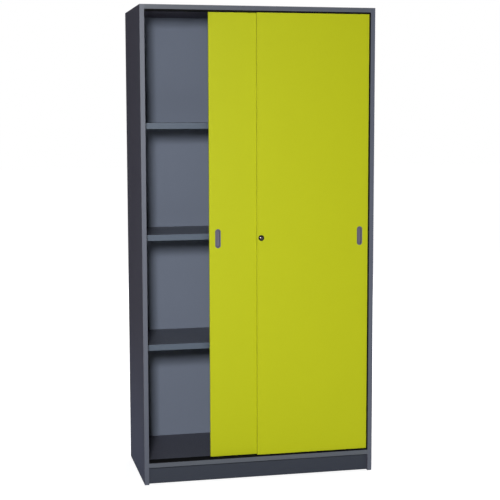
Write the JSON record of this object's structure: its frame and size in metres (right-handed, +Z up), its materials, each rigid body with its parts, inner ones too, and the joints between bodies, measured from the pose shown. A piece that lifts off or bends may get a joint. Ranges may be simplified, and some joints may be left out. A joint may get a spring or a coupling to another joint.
{
  "type": "sliding door cabinet",
  "caption": "Tall office cabinet with bypassing sliding doors on rollers, recessed pulls, a push lock, adjustable shelves, a recessed plinth and floor glides.",
  "frame": {"origin": "on the floor, under the middle of the cabinet", "axes": "+X to the right seen from the front, +Y from the front to the back, +Z up"},
  "size_m": [0.96, 0.45, 1.92],
  "materials": {
    "anthracite_board": "fine pearl-structured melamine",
    "anthracite_edging": "satin edging",
    "lime_board": "fine pearl-structured melamine",
    "lime_edging": "satin edging",
    "track_black": "satin extrusion",
    "nylon_black": "moulded",
    "wheel_nylon": "moulded",
    "stop_rubber": "matt",
    "handle_grey": "fine-textured satin",
    "lock_black_nickel": "polished black nickel",
    "lock_steel": "turned",
    "plug_nickel": "turned, satin nickel"
  },
  "bodies": {
    "carcass": {"left_side_panel": "anthracite_board", "right_side_panel": "anthracite_board", "left_side_edging": "anthracite_edging", "right_side_edging": "anthracite_edging", "top_panel": "anthracite_board", "top_edging": "anthracite_edging", "bottom_panel": "anthracite_board", "bottom_edging": "anthracite_edging", "back_panel": "anthracite_board", "front_plinth": "anthracite_board", "rear_plinth": "anthracite_board", "floor_glide_left_front": "nylon_black", "floor_glide_left_rear": "nylon_black", "floor_glide_right_front": "nylon_black", "floor_glide_right_rear": "nylon_black", "lower_shelf": "anthracite_board", "lower_shelf_pin_left_front": "nylon_black", "lower_shelf_pin_left_rear": "nylon_black", "lower_shelf_pin_right_front": "nylon_black", "lower_shelf_pin_right_rear": "nylon_black", "middle_shelf": "anthracite_board", "middle_shelf_pin_left_front": "nylon_black", "middle_shelf_pin_left_rear": "nylon_black", "middle_shelf_pin_right_front": "nylon_black", "middle_shelf_pin_right_rear": "nylon_black", "upper_shelf": "anthracite_board", "upper_shelf_pin_left_front": "nylon_black", "upper_shelf_pin_left_rear": "nylon_black", "upper_shelf_pin_right_front": "nylon_black", "upper_shelf_pin_right_rear": "nylon_black", "top_track": "track_black", "bottom_track": "track_black", "right_door_buffer_left": "stop_rubber", "right_door_buffer_right": "stop_rubber", "left_door_buffer_left": "stop_rubber", "left_door_buffer_right": "stop_rubber"},
    "left_door": {"left_door_panel": "lime_board", "left_door_edging": "lime_edging", "left_door_handle": "handle_grey", "left_door_roller_housing_left": "nylon_black", "left_door_roller_housing_right": "nylon_black", "left_door_top_guide_left": "nylon_black", "left_door_top_guide_right": "nylon_black", "lock_strike": "lock_steel"},
    "left_door_wheel_left": {"left_door_wheel_left": "wheel_nylon"},
    "left_door_wheel_right": {"left_door_wheel_right": "wheel_nylon"},
    "right_door": {"right_door_panel": "lime_board", "right_door_edging": "lime_edging", "right_door_handle": "handle_grey", "right_door_roller_housing_left": "nylon_black", "right_door_roller_housing_right": "nylon_black", "right_door_top_guide_left": "nylon_black", "right_door_top_guide_right": "nylon_black", "lock_housing": "lock_black_nickel", "lock_rosette": "lock_black_nickel", "lock_nut": "lock_steel"},
    "right_door_wheel_left": {"right_door_wheel_left": "wheel_nylon"},
    "right_door_wheel_right": {"right_door_wheel_right": "wheel_nylon"},
    "lock_cylinder": {"lock_cylinder": "lock_black_nickel"},
    "lock_plug": {"lock_plug": "plug_nickel"}
  },
  "joints": [
    {"name": "left_door_slide", "type": "slide", "parent": "carcass", "child": "left_door", "axis": [1, 0, 0], "range_m": [-0.254, 0.194]},
    {"name": "right_door_slide", "type": "slide", "parent": "carcass", "child": "right_door", "axis": [1, 0, 0], "range_m": [-0.448, 0]},
    {"name": "left_door_left_wheel_roll", "type": "hinge", "parent": "left_door", "child": "left_door_wheel_left", "pos_m": [-0.134, -0.193, 0.1043], "axis": [0, 1, 0], "range_deg": [-1600, 1230]},
    {"name": "left_door_right_wheel_roll", "type": "hinge", "parent": "left_door", "child": "left_door_wheel_right", "pos_m": [0.194, -0.193, 0.1043], "axis": [0, 1, 0], "range_deg": [-1600, 1230]},
    {"name": "right_door_left_wheel_roll", "type": "hinge", "parent": "right_door", "child": "right_door_wheel_left", "pos_m": [0.06, -0.209, 0.1043], "axis": [0, 1, 0], "range_deg": [-2800, 30]},
    {"name": "right_door_right_wheel_roll", "type": "hinge", "parent": "right_door", "child": "right_door_wheel_right", "pos_m": [0.388, -0.209, 0.1043], "axis": [0, 1, 0], "range_deg": [-2800, 30]},
    {"name": "lock_push", "type": "slide", "parent": "right_door", "child": "lock_cylinder", "axis": [0, 1, 0], "range_m": [0, 0.006], "stiffness_N_per_m": 300, "springref_m": -0.004},
    {"name": "lock_turn", "type": "hinge", "parent": "lock_cylinder", "child": "lock_plug", "pos_m": [0.007, -0.22, 0.995], "axis": [0, 1, 0], "range_deg": [0, 90]}
  ],
  "couplings": [
    {"joint": "left_door_left_wheel_roll", "follows": "left_door_slide", "rad_per_m": 107.53},
    {"joint": "left_door_right_wheel_roll", "follows": "left_door_slide", "rad_per_m": 107.53},
    {"joint": "right_door_left_wheel_roll", "follows": "right_door_slide", "rad_per_m": 107.53},
    {"joint": "right_door_right_wheel_roll", "follows": "right_door_slide", "rad_per_m": 107.53}
  ]
}
